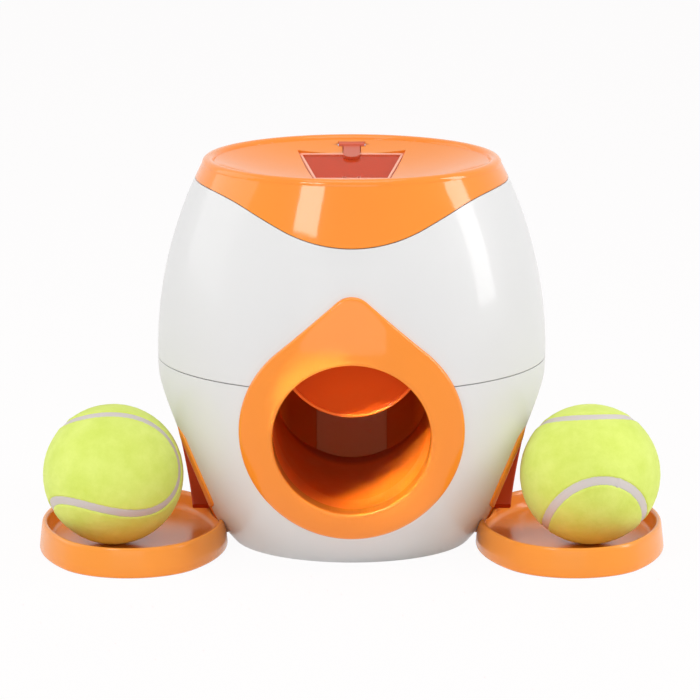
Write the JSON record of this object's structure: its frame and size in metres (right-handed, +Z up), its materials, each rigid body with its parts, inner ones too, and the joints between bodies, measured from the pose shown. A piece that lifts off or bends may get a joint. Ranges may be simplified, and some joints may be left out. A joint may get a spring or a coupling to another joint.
{
  "type": "dog ball return and treat machine",
  "caption": "Barrel-shaped dog toy with a round front ball tunnel, side ports to two oval catch trays, and a dished top with a treat hatch.",
  "frame": {"origin": "middle of the round foot, on the surface it stands on", "axes": "+Z up, -Y towards the front ball hole, +X towards the right tray seen from the front"},
  "size_m": [0.2938, 0.185, 0.1823],
  "materials": {
    "white_plastic": "satin gloss",
    "orange_plastic": "satin gloss",
    "brown_plastic": "matte",
    "clear_plastic": "clear gloss",
    "felt": "napped felt",
    "ball_rubber": "matte",
    "steel": "brushed",
    "brass": "machined",
    "black_plastic": "matte",
    "cell_wrap": "gloss sleeve",
    "circuit_board": "solder mask"
  },
  "bodies": {
    "housing": {"lower_shell": "white_plastic", "upper_shell": "white_plastic", "top_cap": "orange_plastic", "front_ring": "orange_plastic", "side_ring_left": "orange_plastic", "side_ring_right": "orange_plastic", "base_cover": "white_plastic", "chassis": "brown_plastic", "ball_tunnel": "orange_plastic", "exit_chute_left": "orange_plastic", "exit_chute_right": "orange_plastic", "drum_bush": "brass", "drive_motor": "steel", "flap_sensor": "black_plastic", "treat_hopper": "orange_plastic", "treat_chute_left": "orange_plastic", "treat_chute_right": "orange_plastic", "lid_pin": "steel", "battery_box": "black_plastic", "battery_cells": "cell_wrap", "battery_contacts": "steel", "control_board": "circuit_board", "base_screws": "steel", "seam_screws": "steel", "cap_screws": "steel", "hopper_screws": "steel", "board_screws": "steel"},
    "drum": {"drum": "orange_plastic", "drum_gear": "white_plastic", "buffer_pad": "brown_plastic"},
    "pinion": {"motor_shaft": "steel", "drive_pinion": "brass"},
    "flap": {"trigger_flap": "orange_plastic", "flap_shaft": "steel", "metering_wheel_left": "brown_plastic", "metering_wheel_right": "brown_plastic"},
    "lid": {"hopper_lid": "clear_plastic", "lid_strap": "orange_plastic"},
    "battery_door": {"battery_door": "white_plastic"},
    "button": {"power_button": "orange_plastic"},
    "tray_left": {"tray_left": "orange_plastic"},
    "tray_right": {"tray_right": "orange_plastic"},
    "ball_left": {"ball_left_felt": "felt", "ball_left_core": "ball_rubber"},
    "ball_right": {"ball_right_felt": "felt", "ball_right_core": "ball_rubber"}
  },
  "joints": [
    {"name": "drum_turn", "type": "hinge", "parent": "housing", "child": "drum", "pos_m": [0, 0, 0.02], "axis": [0, 0, 1], "range_deg": [-90, 90]},
    {"name": "pinion_spin", "type": "hinge", "parent": "housing", "child": "pinion", "pos_m": [0, 0.03875, 0.018], "axis": [0, 0, 1], "range_deg": [-308.6, 308.6]},
    {"name": "flap_swing", "type": "hinge", "parent": "housing", "child": "flap", "pos_m": [0, -0.055, 0.104], "axis": [1, 0, 0], "range_deg": [0, 75]},
    {"name": "lid_hinge", "type": "hinge", "parent": "housing", "child": "lid", "pos_m": [0, 0.06, 0.1778], "axis": [-1, 0, 0], "range_deg": [0, 105]},
    {"name": "door_pull", "type": "slide", "parent": "housing", "child": "battery_door", "axis": [0, 1, 0], "range_m": [0, 0.04]},
    {"name": "button_press", "type": "slide", "parent": "housing", "child": "button", "axis": [0, -1, 0], "range_m": [0, 0.0012], "stiffness_N_per_m": 800},
    {"name": "tray_left_pull", "type": "slide", "parent": "housing", "child": "tray_left", "axis": [-1, 0, 0], "range_m": [0, 0.06]},
    {"name": "tray_right_pull", "type": "slide", "parent": "housing", "child": "tray_right", "axis": [1, 0, 0], "range_m": [0, 0.06]},
    {"name": "ball_left_lift", "type": "slide", "parent": "tray_left", "child": "ball_left", "axis": [-0.7071, 0, 0.7071], "range_m": [0, 0.1]},
    {"name": "ball_right_lift", "type": "slide", "parent": "tray_right", "child": "ball_right", "axis": [0.7071, 0, 0.7071], "range_m": [0, 0.1]}
  ],
  "couplings": [
    {"joint": "pinion_spin", "follows": "drum_turn", "ratio": -3.4286}
  ]
}
